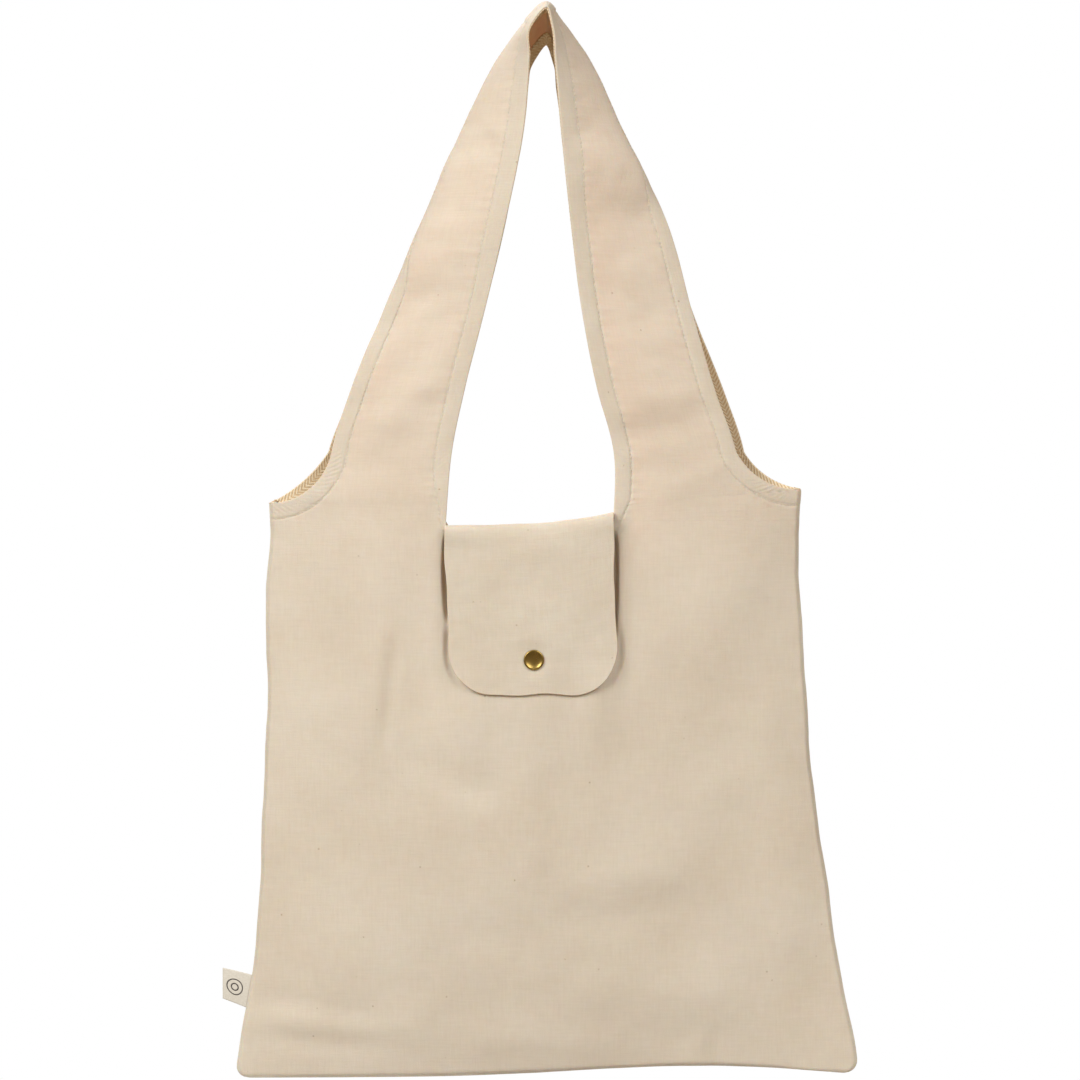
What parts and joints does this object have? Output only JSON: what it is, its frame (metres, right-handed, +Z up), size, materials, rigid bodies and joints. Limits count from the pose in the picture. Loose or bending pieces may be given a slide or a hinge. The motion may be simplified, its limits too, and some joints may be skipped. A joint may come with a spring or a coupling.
{
  "type": "foldable tote bag",
  "caption": "Flat canvas shoulder tote with curved armholes, a square neck closed by a snapped flap, integral shoulder straps and a small side label.",
  "frame": {"origin": "hanging point: underside of the strap crowns, midway between the two straps", "axes": "+Z up as hung, +X to the bag's right as seen from the front, -Y towards the front (flap side)"},
  "size_m": [0.4145, 0.081, 0.6945],
  "materials": {
    "canvas": "undyed cotton canvas, fine plain weave with seed specks",
    "flap_lining": "undyed cotton canvas",
    "seam_cloth": "overlocked canvas edges",
    "twill_tape": "undyed twill tape",
    "antique_brass": "antique brass, satin dome with a bright rim",
    "spring_wire": "phosphor bronze wire",
    "label_ribbon": "woven ribbon"
  },
  "bodies": {
    "bag": {"front_panel": "canvas", "back_panel": "canvas", "front_neck_tape": "twill_tape", "back_neck_tape": "twill_tape", "left_armhole_tape": "twill_tape", "right_armhole_tape": "twill_tape", "left_side_seam_allowance": "seam_cloth", "right_side_seam_allowance": "seam_cloth", "bottom_seam_allowance": "seam_cloth", "flap_seam_allowance": "canvas", "stud_patch": "canvas", "snap_stud": "antique_brass", "snap_post": "antique_brass"},
    "flap_over_mouth": {"flap_top_outer": "canvas", "flap_top_lining": "flap_lining"},
    "flap_front": {"flap_front_outer": "canvas", "flap_front_lining": "flap_lining", "snap_cap": "antique_brass", "snap_socket": "antique_brass", "snap_ring_spring": "spring_wire"},
    "front_strap": {"front_strap_left": "canvas", "front_strap_left_neck_tape": "twill_tape", "front_strap_left_armhole_tape": "twill_tape", "front_strap_right": "canvas", "front_strap_right_neck_tape": "twill_tape", "front_strap_right_armhole_tape": "twill_tape"},
    "back_strap": {"back_strap_left": "canvas", "back_strap_left_neck_tape": "twill_tape", "back_strap_left_armhole_tape": "twill_tape", "back_strap_right": "canvas", "back_strap_right_neck_tape": "twill_tape", "back_strap_right_armhole_tape": "twill_tape"},
    "label": {"side_label": "label_ribbon"}
  },
  "joints": [
    {"name": "flap_lift", "type": "hinge", "parent": "bag", "child": "flap_over_mouth", "pos_m": [0, 0.025, -0.336], "axis": [-1, 0, 0], "range_deg": [0, 60]},
    {"name": "flap_fold", "type": "hinge", "parent": "flap_over_mouth", "child": "flap_front", "pos_m": [0, -0.0338, -0.3336], "axis": [-1, 0, 0], "range_deg": [0, 125]},
    {"name": "front_strap_fold", "type": "hinge", "parent": "bag", "child": "front_strap", "pos_m": [0, -0.028, -0.288], "axis": [1, 0, 0], "range_deg": [0, 150]},
    {"name": "back_strap_fold", "type": "hinge", "parent": "bag", "child": "back_strap", "pos_m": [0, 0.028, -0.288], "axis": [-1, 0, 0], "range_deg": [0, 150]},
    {"name": "label_swing", "type": "hinge", "parent": "bag", "child": "label", "pos_m": [-0.1873, 0, -0.636], "axis": [0, 0, 1], "range_deg": [-75, 75]}
  ]
}
